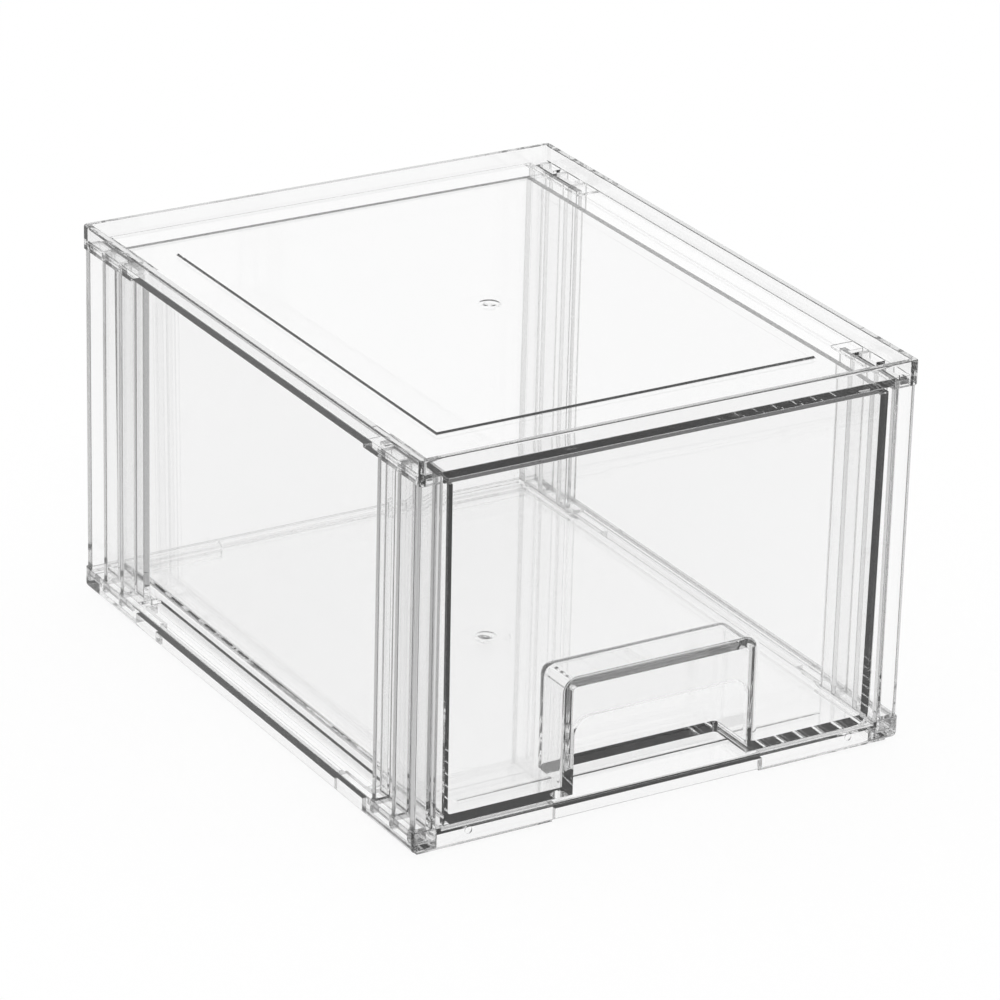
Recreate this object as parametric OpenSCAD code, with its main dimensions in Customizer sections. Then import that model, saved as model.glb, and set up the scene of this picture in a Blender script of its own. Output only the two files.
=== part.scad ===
// Stackable drawer box: two moulded panels joined by four plug-in corner posts,
// with one full-height drawer that slides out at the front.
// The origin is on the ground under the middle of the box, the front faces -Y.

/* [Case] */
// Width of the case, left to right
case_w = 170; // [120:1:260]
// Depth of the case, front to back
case_d = 214; // [140:1:320]
// Height of the case, from the feet to the upper rim
case_h = 125.5; // [90:0.5:220]
// Radius on the upright corners of both panels
corner_r = 1.7; // [1:0.1:2.2]
// Radius along the outer edges of both panels
edge_r = 0.6; // [0.3:0.1:0.9]

/* [Panels] */
// Height of the outer edge of both panels
edge_h = 7; // [6.5:0.1:9]
// Thickness of the rim around both panels
rim_t = 2.3; // [2.25:0.05:3]
// Thickness of the flat floor in the base panel
floor_t = 2.5; // [2:0.1:3]
// Depth of the stacking tray above the middle of the top panel
tray_depth = 4.5; // [4.2:0.1:4.8]
// Height of the rim of the base panel above its runway
base_lip = 1; // [0.6:0.1:1.4]
// Distance from the case side to the middle field of each panel
field_side = 20; // [16:0.5:28]
// Distance from the case front to the middle field of each panel
field_end = 26; // [22:0.5:40]
// Depth of the sunk middle of the base panel
field_depth = 0.8; // [0.3:0.1:1.2]
// Height of the raised middle of the top panel
field_rise = 0.6; // [0.3:0.1:0.8]
// Distance that the corner blocks of the top panel reach below its outer edge
block_drop = 1; // [0.6:0.1:1.4]

/* [Feet] */
// Height of the feet below the base panel
foot_h = 1.5; // [1:0.1:3]
// Length of each leg of the corner feet
foot_l = 46; // [30:1:60]
// Thickness of the feet
foot_t = 2.2; // [1.6:0.1:3]
// Sideways play of the feet inside the rim of the box below
nest_gap = 0.4; // [0.2:0.05:0.8]

/* [Corner posts] */
// Inset of the posts from the outer faces of the panels
post_inset = 0.8; // [0.5:0.1:1.2]
// Material left in a corner block around a post
block_wall = 1.3; // [1:0.1:2]
// Material left in a corner block past the end of a post
block_end = 2.4; // [1:0.1:4]
// Distance from the outer edge of the ribs to the post web
rib_l = 4.8; // [4:0.1:5.4]
// Thickness of the two inner ribs
rib_t = 2.2; // [1.6:0.1:2.8]
// Thickness of the rib at the end of the box
end_rib_t = 3.2; // [3:0.1:3.6]
// Distance from one rib to the next
rib_pitch = 11.6; // [9:0.1:13]
// Thickness of the post web
web_t = 2.3; // [1.8:0.1:2.5]
// Length of the web that runs past the last rib
web_tail = 4.8; // [3:0.1:8]
// Depth of the pocket in the base panel that holds a post
pocket_depth = 4.3; // [3:0.1:5]
// Distance that a post tongue stays below the top surface of its slot
tongue_drop = 1; // [0.5:0.1:1.5]
// Gap between a post and its pocket or slot on each side
plug_gap = 0.1; // [0.05:0.05:0.2]

/* [Drawer] */
// Gap between the drawer and the corner blocks on each side
drawer_gap = 0.7; // [0.4:0.1:1.2]
// Gap under the drawer
glide_gap = 0.3; // [0.2:0.05:0.5]
// Distance from the case front to the drawer front
drawer_setback = 1.2; // [0.6:0.1:4]
// Gap between the back of the drawer and the rim behind it
back_gap = 2.4; // [1:0.1:4]
// Gap between the drawer front and the top panel
top_gap = 1.7; // [1.4:0.1:3]
// Distance that the other walls stop below the drawer front
wall_drop = 1.2; // [0.5:0.1:3]
// Thickness of the drawer front
front_t = 2.5; // [2:0.1:3]
// Thickness of the side and back walls of the drawer
wall_t = 2; // [1.6:0.1:3]
// Thickness of the drawer floor
drawer_floor_t = 3; // [1.8:0.1:3.5]
// Distance that each drawer side leans in towards its lower edge
draft = 0.8; // [0.1:0.1:1.2]
// Radius along the lower edges of the drawer sides and back
tray_r = 3; // [2:0.1:5]
// Radius along the lower edges of the drawer front and inside the drawer
front_edge_r = 0.6; // [0.2:0.1:1]

/* [Finger pull] */
// Width of the finger pull and of its mouth in the drawer front
pull_w = 61; // [40:0.1:90]
// Height of the space in the finger pull above the drawer underside
pull_h = 34.6; // [30:0.1:50]
// Distance from the face of the drawer front to the back of the finger pull
pull_d = 17.3; // [11:0.1:25]
// Thickness of the walls of the finger pull
pull_t = 2.5; // [1.8:0.1:3]
// Radius along the inner edges of the finger pull
pull_r = 1.3; // [0.5:0.1:4]
// Height of the mouth, which leaves a lip to pull at above it
mouth_h = 25; // [14:0.1:28]
// Radius of the upper corners of the mouth
mouth_r = 5.5; // [1:0.1:8]

/* [Moulding details] */
// Width of the gutters beside the drawer runway and of the front groove
gutter_w = 4.2; // [2:0.1:4.4]
// Distance that the gutters reach in past the corner blocks
gutter_shift = 1.2; // [0:0.1:2]
// Depth of the gutter and of the front groove
gutter_depth = 0.9; // [0.4:0.1:1.4]
// Distance from the case front to the front groove
groove_y = 10.8; // [8:0.1:14]
// Diameter of the shallow disc around the gate mark
disc_dia = 16; // [10:0.5:24]
// Depth of that disc
disc_depth = 0.15; // [0.05:0.05:0.3]
// Diameter of the ring that the gate leaves
gate_dia = 6.6; // [4:0.1:9]
// Diameter of the stub left in the middle of the ring
gate_stub_dia = 3; // [1.5:0.1:3.5]
// Depth of the ring
gate_depth = 0.4; // [0.25:0.05:0.6]
// Diameter of the round pin marks on the front edge of the base
pin_dia = 2.4; // [1.5:0.1:3]
// Distance from the case side to a pin mark
pin_side = 18.5; // [16:0.5:24]
// Distance from the runway down to the middle of a pin mark
pin_drop = 1.9; // [1.6:0.1:2.4]

/* [Hidden] */
$fn = 64;
EPS = 0.01;

CLEAR = [0.90, 0.93, 0.94, 0.35];
CLEAR_DRAWER = [0.84, 0.89, 0.92, 0.35];

// Heights above the ground
runway_z = foot_h + edge_h - base_lip;
lip_z = foot_h + edge_h;
top_edge_z = case_h - edge_h;
tray_z = case_h - tray_depth;
border_z = tray_z - field_rise;
shoulder_z = top_edge_z - block_drop;
post_z = lip_z - pocket_depth;
tongue_z = border_z - tongue_drop;

// Sizes of the posts, measured from a corner of the case
web_x = post_inset + rib_l;
rib_start = [post_inset, post_inset + rib_pitch, post_inset + 2 * rib_pitch];
rib_end = [post_inset + end_rib_t, rib_start[1] + rib_t, rib_start[2] + rib_t];
web_end = rib_end[2] + web_tail;
tongue_start = rim_t + 2 * plug_gap;

// Corner blocks that hold the pockets and the slots
block_w = web_x + web_t + plug_gap + block_wall;
block_l = web_end + plug_gap + block_end;

gutter_x = block_w + gutter_shift - gutter_w;

// Drawer
drawer_x = block_w + drawer_gap;
drawer_y = drawer_setback;
drawer_back = case_d - rim_t - back_gap;
drawer_z = runway_z + glide_gap;
front_top_z = top_edge_z - top_gap;
wall_top_z = front_top_z - wall_drop;
drawer_floor_z = drawer_z + drawer_floor_t;
wall_lean = draft / (front_top_z - drawer_z);

// Rectangle with rounded corners, from the origin
module rounded_rect(w, d, r) {
    translate([r, 0]) square([w - 2 * r, d]);
    translate([0, r]) square([w, d - 2 * r]);
    for (x = [r, w - r], y = [r, d - r]) translate([x, y]) circle(r);
}

// Outline of a panel, with rounded upright corners and a softer upper edge
module panel_slab() {
    low = edge_h - edge_r;
    linear_extrude(low) rounded_rect(case_w, case_d, corner_r);
    translate([edge_r, edge_r, 0]) linear_extrude(edge_h)
        rounded_rect(case_w - 2 * edge_r, case_d - 2 * edge_r, corner_r - edge_r);
    for (y = [edge_r, case_d - edge_r]) {
        translate([corner_r, y, low]) rotate([0, 90, 0])
            cylinder(h = case_w - 2 * corner_r, r = edge_r);
    }
    for (x = [edge_r, case_w - edge_r]) {
        translate([x, corner_r, low]) rotate([-90, 0, 0])
            cylinder(h = case_d - 2 * corner_r, r = edge_r);
    }
    for (x = [corner_r, case_w - corner_r], y = [corner_r, case_d - corner_r]) {
        translate([x, y, low]) rotate_extrude() translate([corner_r - edge_r, 0])
            circle(edge_r);
    }
}

// Slab with rounded upright corners and a rounded upper edge
module soft_slab(w, d, h, r) {
    linear_extrude(h - r) rounded_rect(w, d, r);
    translate([r, r, 0]) cube([w - 2 * r, d - 2 * r, h]);
    for (y = [r, d - r]) {
        translate([r, y, h - r]) rotate([0, 90, 0]) cylinder(h = w - 2 * r, r = r);
    }
    for (x = [r, w - r]) {
        translate([x, r, h - r]) rotate([-90, 0, 0]) cylinder(h = d - 2 * r, r = r);
    }
    for (x = [r, w - r], y = [r, d - r]) translate([x, y, h - r]) sphere(r);
}

// Moves the case from its front left corner to the middle of the ground
module centred() {
    translate([-case_w / 2, -case_d / 2, 0]) children();
}

// Puts a shape that is drawn for the front left corner into any corner
module in_corner(right, rear) {
    translate([right * case_w, rear * case_d, 0])
        mirror([right, 0, 0])
        mirror([0, rear, 0])
        children();
}

module in_all_corners() {
    for (right = [0, 1], rear = [0, 1]) in_corner(right, rear) children();
}

// Cross-section of a post: a web with three ribs towards the case side
module post_section(gap) {
    translate([web_x - gap, post_inset - gap])
        square([web_t + 2 * gap, web_end - post_inset + 2 * gap]);
    for (i = [0:2]) {
        translate([post_inset - gap, rib_start[i] - gap])
            square([rib_l + 2 * gap, rib_end[i] - rib_start[i] + 2 * gap]);
    }
}

// The same section without the parts that would cut the rim of the top panel
module tongue_section(gap) {
    intersection() {
        post_section(gap);
        translate([tongue_start - gap, tongue_start - gap])
            square([case_w, rib_end[2] - tongue_start + 2 * gap]);
    }
}

// Round mark that the moulding gate leaves in the surface at height z: a ring
// round a stub, in the middle of a shallow disc
module gate_cut(x, y, z) {
    translate([x, y, z - disc_depth]) cylinder(h = 1, d = disc_dia);
    translate([x, y, z - gate_depth]) difference() {
        cylinder(h = gate_depth, d = gate_dia);
        cylinder(h = gate_depth - disc_depth, d = gate_stub_dia);
    }
}

// One corner foot: two legs that nest inside the rim of the box below
module foot() {
    inset = rim_t + nest_gap;
    top = runway_z - floor_t;
    for (leg = [[foot_l, foot_t], [foot_t, foot_l]]) {
        translate([inset, inset, 0]) cube([leg[0], leg[1], top + EPS]);
        translate([rim_t - EPS, rim_t - EPS, foot_h])
            cube([leg[0] + nest_gap, leg[1] + nest_gap, top - foot_h + EPS]);
    }
}

// Base panel: rim, runway for the drawer, post pockets and feet
module base_panel() {
    field_z = runway_z - field_depth;
    under_z = runway_z - floor_t;
    color(CLEAR) centred() {
        difference() {
            union() {
                difference() {
                    translate([0, case_d, lip_z]) rotate([180, 0, 0])
                        panel_slab();
                    // Space above the runway, open at the front
                    translate([rim_t, -1, runway_z])
                        cube([case_w - 2 * rim_t, case_d - rim_t + 1, edge_h]);
                    // Hollow underside, with a deeper floor below the sunk middle
                    translate([rim_t, rim_t, -1]) difference() {
                        cube([case_w - 2 * rim_t, case_d - 2 * rim_t, under_z + 1]);
                        translate([field_side - rim_t, field_end - rim_t, under_z - field_depth + 1])
                            cube([case_w - 2 * field_side, case_d - 2 * field_end, edge_h]);
                    }
                    // Sunk middle
                    translate([field_side, field_end, field_z])
                        cube([case_w - 2 * field_side, case_d - 2 * field_end, edge_h]);
                    // Gutters beside the runway
                    for (x = [gutter_x, case_w - gutter_x - gutter_w]) {
                        translate([x, block_l, runway_z - gutter_depth])
                            cube([gutter_w, case_d - 2 * block_l, edge_h]);
                    }
                    // Groove across the front
                    translate([field_side, groove_y, runway_z - gutter_depth])
                        cube([case_w - 2 * field_side, gutter_w, edge_h]);
                    gate_cut(case_w / 2, case_d / 2, field_z);
                }
                // Corner blocks with the same rounded corner as the panel
                in_all_corners() intersection() {
                    translate([0, 0, foot_h]) cube([block_w, block_l, edge_h]);
                    translate([0, case_d, lip_z]) rotate([180, 0, 0])
                        panel_slab();
                }
                in_all_corners() foot();
            }
            // Pin marks on the front edge
            for (x = [pin_side, case_w - pin_side]) {
                translate([x, gate_depth, runway_z - pin_drop])
                    rotate([90, 0, 0]) cylinder(h = 1, d = pin_dia);
            }
            // Pockets for the posts
            in_all_corners() translate([0, 0, post_z])
                linear_extrude(pocket_depth + 1) post_section(plug_gap);
        }
    }
}

// Top panel: stacking tray with a rounded rim and four slotted corner blocks
module top_panel() {
    color(CLEAR) centred() {
        difference() {
            union() {
                difference() {
                    translate([0, 0, top_edge_z]) panel_slab();
                    // Stacking tray round the raised middle
                    difference() {
                        translate([rim_t, rim_t, border_z])
                            cube([case_w - 2 * rim_t, case_d - 2 * rim_t, edge_h]);
                        translate([field_side, field_end, tray_z - edge_h])
                            cube([case_w - 2 * field_side, case_d - 2 * field_end, edge_h]);
                    }
                    gate_cut(case_w / 2, case_d / 2, tray_z);
                }
                // Corner blocks
                in_all_corners() intersection() {
                    translate([0, 0, shoulder_z]) cube([block_w, block_l, block_drop + 1]);
                    translate([0, 0, shoulder_z]) linear_extrude(edge_h)
                        rounded_rect(case_w, case_d, corner_r);
                }
            }
            // Slots for the post tongues
            in_all_corners() translate([0, 0, shoulder_z - 1])
                linear_extrude(edge_h) tongue_section(plug_gap);
        }
    }
}

// Corner post: its foot stands in the base pocket, its tongue in the top slot
module post(right, rear) {
    color(CLEAR) centred() in_corner(right, rear) {
        translate([0, 0, post_z]) linear_extrude(shoulder_z - post_z) post_section(0);
        translate([0, 0, shoulder_z - EPS])
            linear_extrude(tongue_z - shoulder_z + EPS) tongue_section(0);
    }
}

module front_left_post() {
    post(0, 0);
}

module front_right_post() {
    post(1, 0);
}

module rear_left_post() {
    post(0, 1);
}

module rear_right_post() {
    post(1, 1);
}

// Section of a moulded tray: a block from z0 up to z1 that is narrower at its
// lower end. low and high give its left and right edges at both ends, and r the
// radius of its two lower corners.
module tray_section(low, high, z0, z1, r) {
    slope = [(low[0] - high[0]) / (z1 - z0), (high[1] - low[1]) / (z1 - z0)];
    run = [for (i = [0, 1]) sqrt(1 + slope[i] * slope[i])];
    mid = [low[0] + r[0] * (run[0] - slope[0]), low[1] - r[1] * (run[1] - slope[1])];
    polygon([
        [high[0], z1],
        [mid[0] - r[0] / run[0], z0 + r[0] - r[0] * slope[0] / run[0]],
        [mid[0], z0],
        [mid[1], z0],
        [mid[1] + r[1] / run[1], z0 + r[1] - r[1] * slope[1] / run[1]],
        [high[1], z1]
    ]);
    for (i = [0, 1]) translate([mid[i], z0 + r[i]]) circle(r[i]);
}

// Solid of the drawer between the heights z0 and z1, inset from the outer faces.
// r_front and r_low are the radii of its lower front and other lower edges.
module drawer_block(inset_side, inset_front, inset_back, z0, z1, r_front, r_low) {
    low = (front_top_z - z0) * wall_lean;
    high = (front_top_z - z1) * wall_lean;
    left = drawer_x + inset_side;
    right = case_w - left;
    front = drawer_y + inset_front;
    back = drawer_back - inset_back;
    intersection() {
        translate([0, case_d, 0]) rotate([90, 0, 0]) linear_extrude(case_d)
            tray_section([left + low, right - low], [left + high, right - high],
                         z0, z1, [r_low, r_low]);
        rotate([90, 0, 90]) linear_extrude(case_w)
            tray_section([front, back - low], [front, back - high],
                         z0, z1, [r_front, r_low]);
    }
}

// Front plate of the drawer, whose lower corners are almost square
module front_plate() {
    intersection() {
        drawer_block(0, 0, 0, drawer_z, front_top_z, front_edge_r, front_edge_r);
        cube([case_w, drawer_y + front_t, case_h]);
    }
}

// Block of the finger pull, grown by a wall, with rounded upper and back edges.
// It runs back from front_y and reaches below the drawer by drop.
module pull_block(grow, front_y, drop) {
    r = pull_r + grow;
    intersection() {
        translate([(case_w - pull_w) / 2 - grow, front_y - r, drawer_z - drop])
            soft_slab(pull_w + 2 * grow, drawer_y + pull_d + grow - front_y + r,
                      pull_h + grow + drop, r);
        translate([0, front_y, 0]) cube([case_w, case_d, case_h]);
    }
}

// Mouth of the finger pull, cut through the front plate below the lip
module mouth_cut() {
    start = drawer_z - mouth_r - 1;
    translate([(case_w - pull_w) / 2, drawer_y + front_t + EPS, start])
        rotate([90, 0, 0]) linear_extrude(case_d)
        rounded_rect(pull_w, drawer_z + mouth_h - start, mouth_r);
}

// Drawer: tray with a taller front and a finger pull behind a lip, open below
module drawer() {
    inner_r = max(tray_r - wall_t, front_edge_r);
    color(CLEAR_DRAWER) centred() difference() {
        union() {
            difference() {
                union() {
                    drawer_block(0, 0, 0, drawer_z, front_top_z, front_edge_r, tray_r);
                    front_plate();
                }
                // Side and back walls stop below the front
                translate([0, drawer_y + front_t, wall_top_z]) cube([case_w, case_d, edge_h]);
                drawer_block(wall_t, front_t, wall_t, drawer_floor_z, front_top_z + 1,
                             inner_r, inner_r);
                gate_cut(case_w / 2, (drawer_y + drawer_back) / 2, drawer_floor_z);
            }
            pull_block(pull_t, drawer_y + front_edge_r, 0);
        }
        pull_block(0, drawer_y + front_t, 1);
        mouth_cut();
    }
}

base_panel();
top_panel();
front_left_post();
front_right_post();
rear_left_post();
rear_right_post();
drawer();
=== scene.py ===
"""A stackable drawer box of clear moulded plastic, in a white studio."""
import math

import bmesh
import bpy
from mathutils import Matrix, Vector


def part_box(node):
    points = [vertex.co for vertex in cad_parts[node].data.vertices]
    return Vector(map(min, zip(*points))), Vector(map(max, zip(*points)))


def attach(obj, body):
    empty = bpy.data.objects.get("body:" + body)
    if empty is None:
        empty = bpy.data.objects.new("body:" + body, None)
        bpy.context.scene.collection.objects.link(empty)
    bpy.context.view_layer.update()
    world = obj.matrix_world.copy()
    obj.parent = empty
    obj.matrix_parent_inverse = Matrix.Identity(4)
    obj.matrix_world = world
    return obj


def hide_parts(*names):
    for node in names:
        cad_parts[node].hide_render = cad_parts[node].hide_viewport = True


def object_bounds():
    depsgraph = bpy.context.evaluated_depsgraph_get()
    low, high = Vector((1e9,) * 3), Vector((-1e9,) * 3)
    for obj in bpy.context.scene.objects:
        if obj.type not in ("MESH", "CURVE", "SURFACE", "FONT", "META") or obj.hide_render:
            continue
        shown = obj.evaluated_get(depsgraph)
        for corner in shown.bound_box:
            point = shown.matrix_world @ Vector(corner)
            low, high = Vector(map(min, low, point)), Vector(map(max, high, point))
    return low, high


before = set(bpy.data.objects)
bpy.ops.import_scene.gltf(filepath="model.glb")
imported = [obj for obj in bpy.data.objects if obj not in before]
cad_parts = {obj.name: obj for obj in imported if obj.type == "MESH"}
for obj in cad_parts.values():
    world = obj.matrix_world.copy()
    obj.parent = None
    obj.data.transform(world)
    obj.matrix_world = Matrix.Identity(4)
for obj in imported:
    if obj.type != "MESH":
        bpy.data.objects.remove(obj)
cad_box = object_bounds()

# --- Studio -----------------------------------------------------------------
# A white room of painted board: a wide floor, white air and a camera a little
# above the box, turned to its front left corner.

scene = bpy.context.scene
scene.view_settings.view_transform = "Standard"

camera = bpy.data.objects.new("camera", bpy.data.cameras.new("camera"))
camera.location = (-0.766386, -1.281632, 0.702711)
camera.rotation_euler = [math.radians(angle) for angle in (66.575, -1.4121, -30.4512)]
camera.data.sensor_width = 36
camera.data.lens = 189.475
camera.data.clip_start = 0.05
camera.data.clip_end = 20
scene.collection.objects.link(camera)
scene.camera = camera

# Light turns many times inside the walls of the plastic. What is still inside after
# this many turns comes back black, so these limits also set how dark its edges are.
scene.cycles.max_bounces = 24
scene.cycles.glossy_bounces = 16
scene.cycles.transmission_bounces = 24

# The front left of the room is dim in what the plastic mirrors
DIM_WAY = (-0.516, -0.857, 0)
DIM_LEVEL = 0.2


def mirrored(tree, place, bright_level, start, end):
    """Strength of the light that the plastic mirrors, 1 where it only lets light through.

    It falls from bright_level to DIM_LEVEL where place lies from start to end along
    DIM_WAY, and does so again each time that the light is mirrored.
    """
    rays = tree.nodes.new("ShaderNodeLightPath")
    towards = tree.nodes.new("ShaderNodeVectorMath")
    towards.operation = "DOT_PRODUCT"
    towards.inputs[1].default_value = DIM_WAY
    share = tree.nodes.new("ShaderNodeMapRange")
    share.inputs["From Min"].default_value = start
    share.inputs["From Max"].default_value = end
    share.inputs["To Min"].default_value = bright_level
    share.inputs["To Max"].default_value = DIM_LEVEL
    power = tree.nodes.new("ShaderNodeMath")
    power.operation = "POWER"
    tree.links.new(place, towards.inputs[0])
    tree.links.new(towards.outputs["Value"], share.inputs["Value"])
    tree.links.new(share.outputs["Result"], power.inputs[0])
    tree.links.new(rays.outputs["Glossy Depth"], power.inputs[1])
    return power.outputs["Value"]


def build_room():
    """White air all round, dim on one side in what the plastic mirrors."""
    world = bpy.data.worlds.new("white_room")
    world.use_nodes = True
    scene.world = world
    tree = world.node_tree
    background = tree.nodes["Background"]
    background.inputs["Color"].default_value = (1, 1, 1, 1)
    way = tree.nodes.new("ShaderNodeTexCoord")
    level = mirrored(tree, way.outputs["Generated"], bright_level=1, start=0.1, end=0.9)
    tree.links.new(level, background.inputs["Strength"])


build_room()

FLOOR_SIZE = 6
FLOOR_DROP = 0.0003
FLOOR_WHITE = 0.9
FLOOR_GLOW = 0.85

bpy.ops.object.select_all(action="DESELECT")
bpy.ops.mesh.primitive_plane_add(size=FLOOR_SIZE, location=(0, 0, -FLOOR_DROP))
floor = bpy.context.object
floor.name = "floor"


def floor_paint():
    """White sweep that glows up to plain white and still takes the soft shadow of the box; in
    what the plastic mirrors, its glow is painted dimmer, most towards the front left.
    """
    material = bpy.data.materials.new("floor_paint")
    material.use_nodes = True
    tree = material.node_tree
    tree.nodes.remove(tree.nodes["Principled BSDF"])
    paint = tree.nodes.new("ShaderNodeBsdfDiffuse")
    glow = tree.nodes.new("ShaderNodeEmission")
    both = tree.nodes.new("ShaderNodeMixShader")
    paint.inputs["Color"].default_value = (FLOOR_WHITE, FLOOR_WHITE, FLOOR_WHITE, 1)
    level = tree.nodes.new("ShaderNodeMath")
    level.operation = "MULTIPLY"
    level.inputs[0].default_value = (1 - (1 - FLOOR_GLOW) * FLOOR_WHITE) / FLOOR_GLOW
    place = tree.nodes.new("ShaderNodeTexCoord")
    # Painted shade in the floor's glow: it is dimmer in what the plastic mirrors, and dimmest
    # towards the front left of the room
    painted_reflection_shade = mirrored(tree, place.outputs["Object"], bright_level=0.75, start=0.05, end=0.3)
    tree.links.new(painted_reflection_shade, level.inputs[1])
    tree.links.new(level.outputs["Value"], glow.inputs["Strength"])
    both.inputs["Fac"].default_value = FLOOR_GLOW
    tree.links.new(paint.outputs["BSDF"], both.inputs[1])
    tree.links.new(glow.outputs["Emission"], both.inputs[2])
    tree.links.new(both.outputs["Shader"], tree.nodes["Material Output"].inputs["Surface"])
    return material


floor.data.materials.append(floor_paint())

# --- Base panel -------------------------------------------------------------
# A shallow moulding of clear styrene: a rim round a runway for the drawer,
# solid corner blocks with pockets for the posts, and four L-shaped feet that
# nest in the rim of a box below. Its edges are rounded by the mould.

MM = 0.001
LEFT, FRONT, GROUND = cad_box[0]
RIGHT, REAR, TOP = cad_box[1]
# How far a cutter reaches past the faces that it cuts through
BEYOND = 1 * MM
# Points this near to each other are at the same place
NEAR = 0.01 * MM

RIM = 2.3 * MM
FLOOR_T = 2.5 * MM
CORNER_R = 1.7 * MM
LIP = 1 * MM
FOOT_H = 1.5 * MM
FOOT_L = 46 * MM
FOOT_T = 2.2 * MM
FOOT_LAP = 0.5 * MM
NEST_GAP = 0.4 * MM
FIELD_SIDE = 20 * MM
FIELD_END = 26 * MM
FIELD_DEPTH = 0.8 * MM
PIT_SLOPE = 2 * MM
BLOCK_W = 9.3 * MM
BLOCK_L = 33.5 * MM
GUTTER_X = 6.3 * MM
GUTTER_W = 4.2 * MM
GUTTER_DEPTH = 0.9 * MM
GROOVE_Y = 10.8 * MM
GROOVE_DEPTH = 0.4 * MM
PIN_STEPS = 32
PIN_R = 1.2 * MM
PIN_SIDE = 18.5 * MM
PIN_DROP = 1.9 * MM
PIN_DEPTH = 0.4 * MM
SOFT_EDGE = 0.3 * MM
BASE_SOFT_EDGE = 0.15 * MM
# Steps of a small and of a larger round edge
FINE_STEPS = 4
ROUND_STEPS = 6

BASE_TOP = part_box("base_panel")[1][2]
RUNWAY = BASE_TOP - LIP
POST_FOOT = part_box("front_left_post")[0][2]


def block(name, low, high):
    """A cuboid from its lowest to its highest corner."""
    bpy.ops.object.select_all(action="DESELECT")
    middle = [(a + b) / 2 for a, b in zip(low, high)]
    bpy.ops.mesh.primitive_cube_add(size=1, location=middle)
    piece = bpy.context.object
    piece.name = piece.data.name = name
    piece.scale = [b - a for a, b in zip(low, high)]
    bpy.ops.object.transform_apply(location=True, rotation=True, scale=True)
    return piece


def cylinder(sides, radius, length, middle, turn=(0, 0, 0)):
    """A cylinder that stands upright, or lies by the turn that it is given."""
    bpy.ops.object.select_all(action="DESELECT")
    bpy.ops.mesh.primitive_cylinder_add(vertices=sides, radius=radius, depth=length,
                                        location=middle, rotation=turn)
    bpy.ops.object.transform_apply(location=True, rotation=True, scale=True)
    return bpy.context.object


def edit_mesh(piece, kind):
    """Goes into edit mode with nothing selected, to work on the piece's edges or faces."""
    bpy.context.view_layer.objects.active = piece
    bpy.ops.object.mode_set(mode="EDIT")
    bpy.ops.mesh.select_mode(type=kind)
    bpy.ops.mesh.select_all(action="DESELECT")
    return bmesh.from_edit_mesh(piece.data)


def select_edges(piece, wanted):
    """Selects the edges whose two ends pass the test, in edit mode."""
    mesh = edit_mesh(piece, "EDGE")
    for edge in mesh.edges:
        edge.select_set(wanted(*(vertex.co for vertex in edge.verts)))
    bmesh.update_edit_mesh(piece.data)


def select_faces(piece, wanted):
    """Selects the faces that pass the test, in edit mode."""
    mesh = edit_mesh(piece, "FACE")
    for face in mesh.faces:
        face.select_set(wanted(face))
    bmesh.update_edit_mesh(piece.data)


def looks_down(face):
    """Whether the face is one that looks straight down, or nearly so."""
    return face.normal.z < -0.9


def round_edges(piece, radius, steps, wanted):
    """Rounds the edges whose two ends pass the test."""
    select_edges(piece, wanted)
    bpy.ops.mesh.bevel(offset=radius, segments=steps, affect="EDGES")
    bpy.ops.object.mode_set(mode="OBJECT")


def combine(piece, other, how):
    """Joins the other shape to the piece, or cuts it out, and uses it up."""
    modifier = piece.modifiers.new("combine", "BOOLEAN")
    modifier.operation = how
    modifier.solver = "EXACT"
    modifier.object = other
    bpy.context.view_layer.objects.active = piece
    bpy.ops.object.modifier_apply(modifier=modifier.name)
    bpy.data.objects.remove(other)


def cut(piece, low, high):
    """Cuts a cuboid out of the piece."""
    combine(piece, block("cutter", low, high), "DIFFERENCE")


def join(piece, low, high):
    """Joins a cuboid to the piece."""
    combine(piece, block("addition", low, high), "UNION")


def in_corners(make):
    """One shape in each corner of the case, from make(side, end), joined into one object.

    side and end are 1 in the front left corner and -1 at the far side or end.
    """
    shapes = [make(side, end) for side in (1, -1) for end in (1, -1)]
    bpy.ops.object.select_all(action="DESELECT")
    for shape in shapes:
        shape.select_set(True)
    bpy.context.view_layer.objects.active = shapes[0]
    bpy.ops.object.join()
    return shapes[0]


def corner_span(side, end, low, high):
    """Corners of a cuboid that is drawn from the front left corner of the case."""
    x = [side * (LEFT + value) for value in (low[0], high[0])]
    y = [end * (FRONT + value) for value in (low[1], high[1])]
    return (min(x), min(y), low[2]), (max(x), max(y), high[2])


def corner_blocks(low, high):
    """A cuboid in each corner of the case, from low to high as in the front left one."""
    return in_corners(lambda side, end: block(
        "corner_block", *corner_span(side, end, low, high)))


def pick(piece):
    """Selects this piece alone and makes it the active one."""
    bpy.ops.object.select_all(action="DESELECT")
    bpy.context.view_layer.objects.active = piece
    piece.select_set(True)


# Points this near to each other are merged, and faces at this angle are one flat face
DOUBLED = 0.002 * MM
FLAT_ANGLE = math.radians(0.2)


def clean_flats(piece):
    """Merges doubled points and takes out the edges that lie in flat faces."""
    pick(piece)
    bpy.ops.object.mode_set(mode="EDIT")
    bpy.ops.mesh.select_all(action="SELECT")
    bpy.ops.mesh.remove_doubles(threshold=DOUBLED)
    bpy.ops.mesh.dissolve_limited(angle_limit=FLAT_ANGLE)
    bpy.ops.object.mode_set(mode="OBJECT")


def soften(piece, width):
    """Takes the sharpness off every edge, as a polished mould does."""
    clean_flats(piece)
    modifier = piece.modifiers.new("soft_edges", "BEVEL")
    modifier.width = width
    modifier.segments = 3
    modifier.limit_method = "ANGLE"
    modifier.angle_limit = math.radians(35)
    bpy.ops.object.modifier_apply(modifier=modifier.name)


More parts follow.
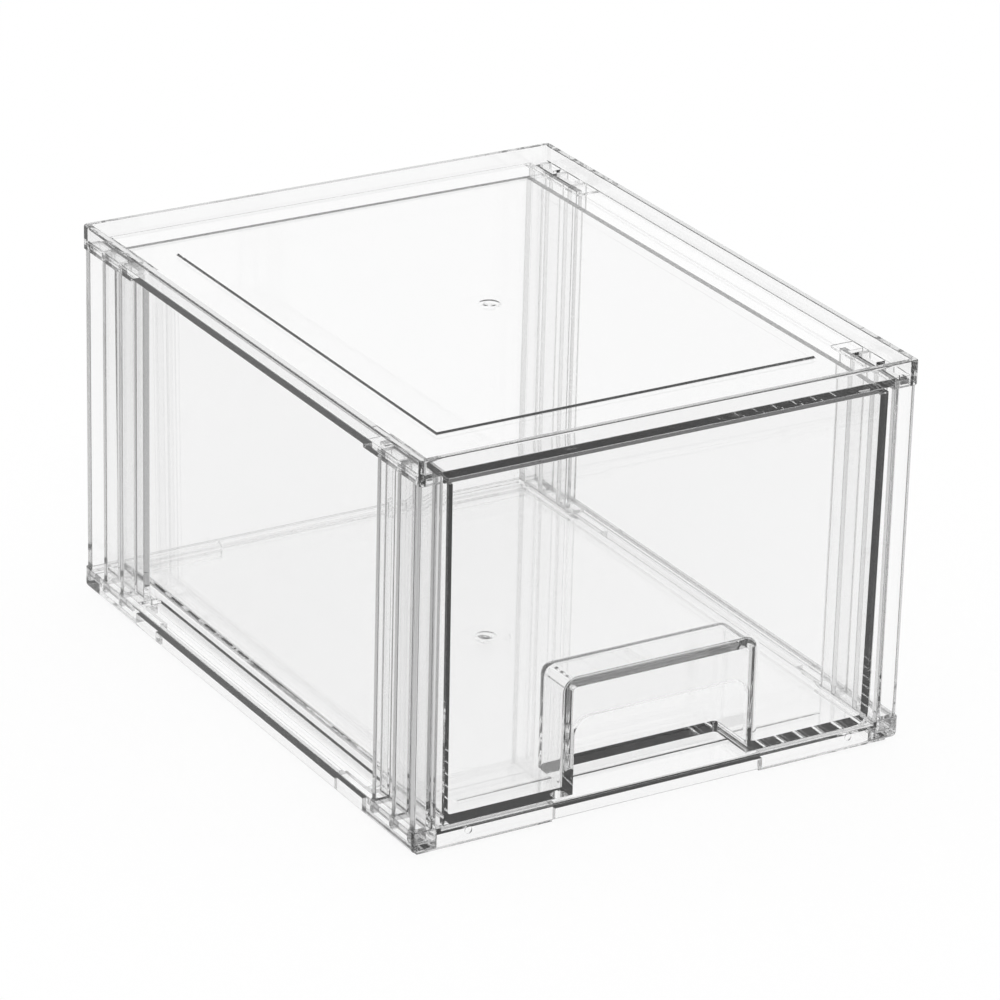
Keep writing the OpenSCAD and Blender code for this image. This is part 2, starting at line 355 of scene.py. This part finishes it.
def smooth(piece):
    """Smooth shading that leaves the flat faces truly flat."""
    pick(piece)
    bpy.ops.object.shade_smooth_by_angle(angle=math.radians(40))
    modifier = piece.modifiers.new("flat_faces", "WEIGHTED_NORMAL")
    modifier.keep_sharp = True
    modifier.weight = 100
    bpy.ops.object.modifier_apply(modifier=modifier.name)


# A gap that keeps two faces from lying in one plane
SEAM = 0.02 * MM
GATE_STEPS = 48
GATE_DISC_R = 8.2 * MM
# Radius and depth of the rings of the mark, in millimetres, from its disc's edge inwards
GATE_RINGS = [(7.7, 0.05), (3.8, 0.06), (3.4, 0.11), (3.0, 0.17), (2.5, 0.19), (2.1, 0.16),
              (1.8, 0.1), (1.4, 0.06), (0.8, 0.05)]


def press_gate_mark(piece, x, y, z):
    """Presses the round mark of a moulding gate into a flat face at height z."""
    stamp = cylinder(GATE_STEPS, GATE_DISC_R, BEYOND, (x, y, z + SEAM + BEYOND / 2))
    select_faces(stamp, looks_down)
    radius, depth = GATE_DISC_R, -SEAM
    for ring_r, ring_depth in GATE_RINGS:
        ring_r, ring_depth = ring_r * MM, ring_depth * MM
        bpy.ops.mesh.inset(thickness=radius - ring_r, depth=ring_depth - depth)
        radius, depth = ring_r, ring_depth
    bpy.ops.object.mode_set(mode="OBJECT")
    combine(piece, stamp, "DIFFERENCE")


WEB_X = 5.6 * MM
WEB_T = 2.3 * MM
POST_INSET = 0.8 * MM
RIB_PITCH = 11.6 * MM
RIB_T = 2.2 * MM
END_RIB_T = 3.2 * MM
WEB_TAIL = 4.8 * MM
PLUG_GAP = 0.1 * MM
POST_FOOT_R = 0.8 * MM
RIBS = [(POST_INSET, POST_INSET + END_RIB_T)]
for turn in (1, 2):
    RIBS.append((POST_INSET + turn * RIB_PITCH, POST_INSET + turn * RIB_PITCH + RIB_T))
RIBS_END = RIBS[-1][1]
WEB_END = RIBS_END + WEB_TAIL


def ribbed_bar(side, end, reach, length, gap, low_z, high_z, foot_r=0):
    """Upright bar in a corner of the case: a web, and three ribs towards the case side.

    The ribs and the bar start at reach from the case faces, the web is length long,
    the whole section is grown by gap and its lower edges are rounded by foot_r.
    """
    bar = block("bar", (LEFT + WEB_X - gap, FRONT + reach - gap, low_z),
                (LEFT + WEB_X + WEB_T + gap, FRONT + length + gap, high_z))
    spans = [(FRONT + max(start, reach) - gap, FRONT + stop + gap) for start, stop in RIBS]
    # Lines round the web where its ribs start and end, and then the ribs between them
    bpy.ops.object.mode_set(mode="EDIT")
    for line in [y for span in spans for y in span][1:]:
        if line < FRONT + length:
            bpy.ops.mesh.select_all(action="SELECT")
            bpy.ops.mesh.bisect(plane_co=(0, line, 0), plane_no=(0, 1, 0))
    select_faces(bar, lambda face: face.normal.x < -0.9 and any(
        start < face.calc_center_median().y < stop for start, stop in spans))
    bpy.ops.mesh.extrude_region_move(TRANSFORM_OT_translate={"value": (reach - WEB_X, 0, 0)})
    bpy.ops.object.mode_set(mode="OBJECT")
    if foot_r:
        clean_flats(bar)
        round_edges(bar, foot_r, FINE_STEPS, lambda a, b: max(a.z, b.z) < low_z + foot_r)
    bar.scale = (side, end, 1)
    bpy.ops.object.transform_apply(location=True, rotation=True, scale=True)
    if side * end < 0:
        bpy.ops.object.mode_set(mode="EDIT")
        bpy.ops.mesh.select_all(action="SELECT")
        bpy.ops.mesh.normals_make_consistent(inside=False)
        bpy.ops.object.mode_set(mode="OBJECT")
    return bar


def sloping_pit(low, high, depth):
    """Block that sinks by depth into the face at height low[2], with sloping sides.

    low and high give its outline in that face.
    """
    # Twice as high as the pit, so its foot is narrower by two slopes on each side
    pit = block("pit", (low[0] - PIT_SLOPE, low[1] - PIT_SLOPE, low[2] - depth),
                (high[0] + PIT_SLOPE, high[1] + PIT_SLOPE, low[2] + depth))
    width, length = high[0] - low[0] + 2 * PIT_SLOPE, high[1] - low[1] + 2 * PIT_SLOPE
    select_faces(pit, looks_down)
    bpy.ops.transform.resize(
        value=(1 - 4 * PIT_SLOPE / width, 1 - 4 * PIT_SLOPE / length, 1),
        center_override=((low[0] + high[0]) / 2, (low[1] + high[1]) / 2, low[2] - depth))
    bpy.ops.object.mode_set(mode="OBJECT")
    return pit


def sunk_field(level):
    """Sunk middle of the base, as a pit in the face at height level."""
    return sloping_pit((LEFT + FIELD_SIDE, FRONT + FIELD_END, level),
                       (RIGHT - FIELD_SIDE, REAR - FIELD_END), FIELD_DEPTH)


base = block("base_shell", (LEFT, FRONT, FOOT_H), (RIGHT, REAR, BASE_TOP))
round_edges(base, CORNER_R, ROUND_STEPS, lambda a, b: min(a.z, b.z) < BASE_TOP - BEYOND)

# Space above the runway, open at the front and closed at the corner blocks
runway_space = block("runway_space", (LEFT + RIM, FRONT - BEYOND, RUNWAY),
                     (RIGHT - RIM, REAR - RIM, BASE_TOP + BEYOND))
combine(runway_space, corner_blocks((0, -2 * BEYOND, RUNWAY - BEYOND),
                                    (BLOCK_W, BLOCK_L, TOP)), "DIFFERENCE")
combine(base, runway_space, "DIFFERENCE")

# Hollow underside, with a deeper floor below the sunk middle
UNDERSIDE = RUNWAY - FLOOR_T
hollow = block("hollow", (LEFT + RIM, FRONT + RIM, GROUND), (RIGHT - RIM, REAR - RIM, UNDERSIDE))
combine(hollow, sunk_field(UNDERSIDE), "DIFFERENCE")
combine(hollow, corner_blocks((0, 0, -BEYOND), (BLOCK_W, BLOCK_L, RUNWAY)), "DIFFERENCE")
combine(base, hollow, "DIFFERENCE")

# Sunk middle, gutters beside the runway and the groove across its front
combine(base, sunk_field(RUNWAY), "DIFFERENCE")
for side in (1, -1):
    cut(base, *corner_span(side, 1, (GUTTER_X, BLOCK_L, RUNWAY - GUTTER_DEPTH),
                           (GUTTER_X + GUTTER_W, REAR - FRONT - BLOCK_L, BASE_TOP)))
groove = sloping_pit((LEFT + FIELD_SIDE, FRONT + GROOVE_Y, RUNWAY),
                     (RIGHT - FIELD_SIDE, FRONT + GROOVE_Y + GUTTER_W), GROOVE_DEPTH)
combine(base, groove, "DIFFERENCE")


def foot(side, end):
    """Two legs at right angles below a corner, on a root that runs into the rim."""
    inset = RIM + NEST_GAP
    root = RIM - FOOT_LAP
    high_z = UNDERSIDE + FOOT_LAP
    shape = block("foot", *corner_span(side, end, (inset, inset, GROUND),
                                       (inset + FOOT_L, inset + FOOT_T, high_z)))
    join(shape, *corner_span(side, end, (inset, inset, GROUND),
                             (inset + FOOT_T, inset + FOOT_L, high_z)))
    for length, width in ((FOOT_L, FOOT_T), (FOOT_T, FOOT_L)):
        join(shape, *corner_span(side, end, (root, root, FOOT_H),
                                 (inset + length, inset + width, high_z)))
    return shape


combine(base, in_corners(foot), "UNION")
soften(base, BASE_SOFT_EDGE)

# Pockets for the posts
combine(base, in_corners(lambda side, end: ribbed_bar(
    side, end, POST_INSET, WEB_END, PLUG_GAP, POST_FOOT, BASE_TOP + BEYOND, POST_FOOT_R)),
        "DIFFERENCE")

# Marks of the ejector pins in the front edge
for x in (LEFT + PIN_SIDE, RIGHT - PIN_SIDE):
    pin = cylinder(PIN_STEPS, PIN_R, 2 * PIN_DEPTH, (x, FRONT, RUNWAY - PIN_DROP),
                   turn=(math.radians(90), 0, 0))
    combine(base, pin, "DIFFERENCE")

press_gate_mark(base, 0, 0, RUNWAY - FIELD_DEPTH)
smooth(base)


def scuffed_skin():
    """Group: roughness and normal of a polished moulded face with ripples and scuffs."""
    group = bpy.data.node_groups.new("scuffed_skin", "ShaderNodeTree")
    sockets = (("Ripple", "INPUT", "NodeSocketFloat"),
               ("Scuffs", "INPUT", "NodeSocketFloat"),
               ("Roughness", "OUTPUT", "NodeSocketFloat"),
               ("Normal", "OUTPUT", "NodeSocketVector"))
    for name, way, kind in sockets:
        group.interface.new_socket(name, in_out=way, socket_type=kind)
    add = group.nodes.new
    link = group.links.new
    given = add("NodeGroupInput")
    result = add("NodeGroupOutput")
    place = add("ShaderNodeTexCoord")

    # Slow flow ripples
    ripple = add("ShaderNodeTexNoise")
    ripple.inputs["Scale"].default_value = 34
    ripple.inputs["Detail"].default_value = 1.5
    skin = add("ShaderNodeBump")
    skin.inputs["Distance"].default_value = 0.2 * MM
    link(place.outputs["Object"], ripple.inputs["Vector"])
    link(ripple.outputs["Fac"], skin.inputs["Height"])
    link(given.outputs["Ripple"], skin.inputs["Strength"])

    # Fine scuffs along the way that the drawer slides, in patches
    stretch = add("ShaderNodeMapping")
    stretch.inputs["Scale"].default_value = (1400, 60, 1400)
    scratch = add("ShaderNodeTexNoise")
    scratch.inputs["Scale"].default_value = 1
    scratch.inputs["Detail"].default_value = 2
    lines = add("ShaderNodeMapRange")
    lines.inputs["From Min"].default_value = 0.62
    lines.inputs["From Max"].default_value = 0.78
    patches = add("ShaderNodeTexNoise")
    patches.inputs["Scale"].default_value = 25
    worn = add("ShaderNodeMath")
    worn.operation = "MULTIPLY"
    rough = add("ShaderNodeMath")
    rough.operation = "MULTIPLY"
    link(place.outputs["Object"], stretch.inputs["Vector"])
    link(stretch.outputs["Vector"], scratch.inputs["Vector"])
    link(scratch.outputs["Fac"], lines.inputs["Value"])
    link(place.outputs["Object"], patches.inputs["Vector"])
    link(lines.outputs["Result"], worn.inputs[0])
    link(patches.outputs["Fac"], worn.inputs[1])
    link(worn.outputs["Value"], rough.inputs[0])
    link(given.outputs["Scuffs"], rough.inputs[1])
    link(rough.outputs["Value"], result.inputs["Roughness"])
    link(skin.outputs["Normal"], result.inputs["Normal"])
    return group


SKIN = scuffed_skin()
STYRENE = (0.995, 0.995, 0.995, 1)
IOR_STYRENE = 1.59
HAZE = 0.006
LETS_THROUGH = (0.97, 0.97, 0.97, 1)


def clear_styrene(name, ripple, scuffs):
    """Clear plastic that lets the room's light through, so it throws only a faint shadow."""
    material = bpy.data.materials.new(name)
    material.use_nodes = True
    tree = material.node_tree
    plastic = tree.nodes["Principled BSDF"]
    plastic.inputs["Base Color"].default_value = STYRENE
    plastic.inputs["IOR"].default_value = IOR_STYRENE
    plastic.inputs["Transmission Weight"].default_value = 1 - HAZE
    skin = tree.nodes.new("ShaderNodeGroup")
    skin.node_tree = SKIN
    skin.inputs["Ripple"].default_value = ripple
    skin.inputs["Scuffs"].default_value = scuffs
    tree.links.new(skin.outputs["Roughness"], plastic.inputs["Roughness"])
    tree.links.new(skin.outputs["Normal"], plastic.inputs["Normal"])
    rays = tree.nodes.new("ShaderNodeLightPath")
    clear = tree.nodes.new("ShaderNodeBsdfTransparent")
    clear.inputs["Color"].default_value = LETS_THROUGH
    both = tree.nodes.new("ShaderNodeMixShader")
    tree.links.new(rays.outputs["Is Shadow Ray"], both.inputs["Fac"])
    tree.links.new(plastic.outputs["BSDF"], both.inputs[1])
    tree.links.new(clear.outputs["BSDF"], both.inputs[2])
    tree.links.new(both.outputs["Shader"], tree.nodes["Material Output"].inputs["Surface"])
    return material


def give(piece, material):
    """The piece's one material."""
    piece.data.materials.clear()
    piece.data.materials.append(material)


case_plastic = clear_styrene("case_plastic", ripple=0.06, scuffs=0.25)
give(base, case_plastic)
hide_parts("base_panel")
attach(base, "case")

# --- Corner posts -----------------------------------------------------------
# Four separate mouldings of the same styrene, pushed into both panels. Each is a
# web with three ribs: its foot stands in a pocket of the base and its tongue in
# a slot of the top panel.

TONGUE_START = RIM + 2 * PLUG_GAP
TOP_UNDER, CASE_TOP = (corner[2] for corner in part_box("top_panel"))
TONGUE_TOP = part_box("front_left_post")[1][2]

post_plastic = clear_styrene("post_plastic", ripple=0.05, scuffs=0.1)
CORNERS = {"front_left_post": (1, 1), "front_right_post": (-1, 1),
           "rear_left_post": (1, -1), "rear_right_post": (-1, -1)}
for name, (side, end) in CORNERS.items():
    post = ribbed_bar(side, end, POST_INSET, WEB_END, 0, POST_FOOT, TOP_UNDER, POST_FOOT_R)
    tongue = ribbed_bar(side, end, TONGUE_START, RIBS_END, 0, TOP_UNDER - BEYOND, TONGUE_TOP)
    combine(post, tongue, "UNION")
    post.name = post.data.name = name + "_moulding"
    soften(post, SOFT_EDGE)
    smooth(post)
    give(post, post_plastic)
    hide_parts(name)
    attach(post, "case")

# --- Top panel --------------------------------------------------------------
# The stacking tray, one moulding of the same styrene: a rim round a flat floor
# whose middle is raised a little, and below each corner a slotted block that
# grips the tongue of a post.

TRAY_DEPTH = 4.5 * MM
FIELD_RISE = 0.6 * MM
EDGE_R = 0.6 * MM
FIELD = CASE_TOP - TRAY_DEPTH
TRAY = FIELD - FIELD_RISE
TRAY_UNDER = FIELD - FLOOR_T

lid = block("top_shell", (LEFT, FRONT, TOP_UNDER), (RIGHT, REAR, CASE_TOP))
round_edges(lid, CORNER_R, ROUND_STEPS, lambda a, b: abs(a.z - b.z) > BEYOND)
round_edges(lid, EDGE_R, FINE_STEPS, lambda a, b: min(a.z, b.z) > TOP_UNDER + BEYOND)

# Everything below the floor is cut away but the corner blocks
below = block("below", (LEFT - BEYOND, FRONT + BLOCK_L, TOP_UNDER - BEYOND),
              (RIGHT + BEYOND, REAR - BLOCK_L, TRAY_UNDER))
join(below, (LEFT + BLOCK_W, FRONT - BEYOND, TOP_UNDER - BEYOND),
     (RIGHT - BLOCK_W, REAR + BEYOND, TRAY_UNDER))
combine(lid, below, "DIFFERENCE")

# The space of the tray runs round the raised middle
tray_space = block("tray_space", (LEFT + RIM, FRONT + RIM, TRAY),
                   (RIGHT - RIM, REAR - RIM, CASE_TOP + BEYOND))
cut(tray_space, (LEFT + FIELD_SIDE, FRONT + FIELD_END, TRAY - BEYOND),
    (RIGHT - FIELD_SIDE, REAR - FIELD_END, FIELD))
combine(lid, tray_space, "DIFFERENCE")
soften(lid, SOFT_EDGE)
press_gate_mark(lid, 0, 0, FIELD)
combine(lid, in_corners(lambda side, end: ribbed_bar(
    side, end, TONGUE_START, RIBS_END, PLUG_GAP, TOP_UNDER - BEYOND, CASE_TOP)), "DIFFERENCE")
smooth(lid)
give(lid, case_plastic)
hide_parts("top_panel")
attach(lid, "case")

# --- Drawer -----------------------------------------------------------------
# One deep tray, moulded in clear styrene, which slides on the runway. Its sides
# and back lean in a little to leave the mould; the front stands straight, a
# little taller, with a finger pull behind a lip.

DRAWER_LOW, DRAWER_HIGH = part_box("drawer")
DRAWER_FRONT = DRAWER_LOW[1]
WALL_DROP = 1.2 * MM
FRONT_T = 2.5 * MM
WALL_T = 2 * MM
TRAY_FLOOR_T = 3 * MM
DRAFT = 0.8 * MM
TRAY_R = 3 * MM
FRONT_EDGE_R = 0.6 * MM
INNER_R = 1 * MM
PULL_W = 61 * MM
PULL_H = 34.6 * MM
PULL_D = 17.3 * MM
PULL_T = 2.5 * MM
PULL_R = 1.3 * MM
PULL_FILLET = 1.5 * MM
FILLET_STEPS = 5
MOUTH_H = 25 * MM
MOUTH_R = 5.5 * MM
BROAD_STEPS = 8

DRAWER_FLOOR = DRAWER_LOW[2] + TRAY_FLOOR_T
LEAN = DRAFT / (DRAWER_HIGH[2] - DRAWER_LOW[2])
PLATE_BACK = DRAWER_FRONT + FRONT_T


def leaning_tray(name, inset, front, low_z, high_z, r_front, r_low):
    """Block whose sides and back lean in towards its lower face, with rounded lower edges."""
    reach = DRAWER_HIGH[0] - inset - (DRAWER_HIGH[2] - high_z) * LEAN
    back = DRAWER_HIGH[1] - inset - (DRAWER_HIGH[2] - high_z) * LEAN
    tray = block(name, (-reach, front, low_z), (reach, back, high_z))
    shift = (high_z - low_z) * LEAN
    select_faces(tray, looks_down)
    bpy.ops.transform.resize(value=(1 - shift / reach, 1 - shift / (back - front), 1),
                             center_override=(0, front, low_z))
    bpy.ops.object.mode_set(mode="OBJECT")
    round_edges(tray, r_low, BROAD_STEPS, lambda a, b: max(a.z, b.z) < low_z + NEAR
                and max(a.y, b.y) > front + NEAR)
    round_edges(tray, r_front, FINE_STEPS, lambda a, b: max(a.z, b.z) < low_z + r_low + NEAR
                and max(a.y, b.y) < front + NEAR)
    return tray


def pull_shape(name, grow, front_y, drop):
    """Block of the finger pull, with rounded edges all round but at its front and foot."""
    half = PULL_W / 2 + grow
    low_z = DRAWER_LOW[2] - drop
    shape = block(name, (-half, front_y, low_z),
                  (half, DRAWER_FRONT + PULL_D + grow, DRAWER_LOW[2] + PULL_H + grow))
    round_edges(shape, PULL_R + grow, ROUND_STEPS, lambda a, b: max(a.z, b.z) > low_z + BEYOND
                and max(a.y, b.y) > front_y + BEYOND)
    return shape


wall_top = DRAWER_HIGH[2] - WALL_DROP
tray = leaning_tray("tray_shell", SEAM, PLATE_BACK - BEYOND, DRAWER_LOW[2], wall_top,
                    FRONT_EDGE_R, TRAY_R)
combine(tray, leaning_tray("space", WALL_T, PLATE_BACK - 2 * BEYOND, DRAWER_FLOOR, TOP,
                           INNER_R, INNER_R), "DIFFERENCE")
soften(tray, SOFT_EDGE)
plate = leaning_tray("front_plate", 0, DRAWER_FRONT, DRAWER_LOW[2], DRAWER_HIGH[2],
                     FRONT_EDGE_R, FRONT_EDGE_R)
cut(plate, (LEFT, PLATE_BACK, GROUND), (RIGHT, REAR, TOP))
soften(plate, SOFT_EDGE)
combine(tray, plate, "UNION")
combine(tray, pull_shape("pull_walls", PULL_T, PLATE_BACK - BEYOND, 0), "UNION")

# Fillet where the finger pull meets the back of the front plate
clean_flats(tray)
pull_reach = PULL_W / 2 + PULL_T + NEAR
pull_roof = DRAWER_LOW[2] + PULL_H + PULL_T + NEAR
round_edges(tray, PULL_FILLET, FILLET_STEPS, lambda a, b: all(
    abs(point.y - PLATE_BACK) < NEAR and abs(point.x) < pull_reach
    and DRAWER_FLOOR - NEAR < point.z < pull_roof for point in (a, b)))

combine(tray, pull_shape("pull_space", 0, PLATE_BACK, BEYOND), "DIFFERENCE")
mouth_top = DRAWER_LOW[2] + MOUTH_H
mouth = block("mouth", (-PULL_W / 2, DRAWER_FRONT - BEYOND, GROUND),
              (PULL_W / 2, PLATE_BACK + NEAR, mouth_top))
round_edges(mouth, MOUTH_R, BROAD_STEPS, lambda a, b: min(a.z, b.z) > mouth_top - BEYOND
            and abs(a.x - b.x) < BEYOND)
combine(tray, mouth, "DIFFERENCE")
press_gate_mark(tray, 0, (DRAWER_LOW[1] + DRAWER_HIGH[1]) / 2, DRAWER_FLOOR)
smooth(tray)
give(tray, clear_styrene("drawer_plastic", ripple=0.06, scuffs=0.3))
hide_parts("drawer")
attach(tray, "drawer_box")
